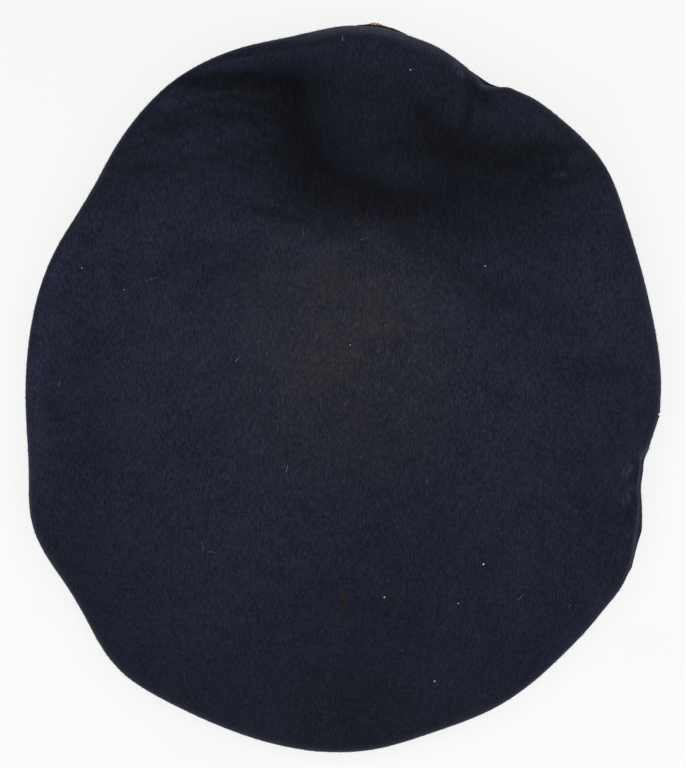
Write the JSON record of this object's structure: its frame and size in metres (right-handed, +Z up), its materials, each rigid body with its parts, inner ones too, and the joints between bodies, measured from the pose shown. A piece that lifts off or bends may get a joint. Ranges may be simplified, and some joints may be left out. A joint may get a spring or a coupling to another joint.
{
  "type": "soft peaked officer's cap",
  "caption": "Soft peaked cap of napped navy wool with a floppy, dented crown that has no stiffener, a plain band, a leather peak and chin strap, and a gilt wreath badge on black felt.",
  "frame": {"origin": "middle of the cap's box seen from above, at the level of the table that it rests on", "axes": "+Z up, -Y to the cap's front where the peak and badge are, +X to the wearer's left"},
  "size_m": [0.2498, 0.3106, 0.1258],
  "materials": {
    "navy_wool": "napped wool cloth, matt, worn",
    "band_cloth": "ribbed cloth band, matt",
    "black_leather": "semi-gloss, creased",
    "black_felt": "dense felt, matt",
    "old_gilt": "gilt, slightly tarnished"
  },
  "bodies": {
    "root": {"crown_top": "navy_wool", "quarter_front_right": "navy_wool", "quarter_back_right": "navy_wool", "quarter_back_left": "navy_wool", "quarter_front_left": "navy_wool", "band": "band_cloth", "peak": "black_leather", "chin_strap": "black_leather", "strap_button_right": "old_gilt", "strap_button_left": "old_gilt", "badge_backing": "black_felt", "badge_wreath": "old_gilt", "badge_boss": "old_gilt"}
  },
  "joints": []
}
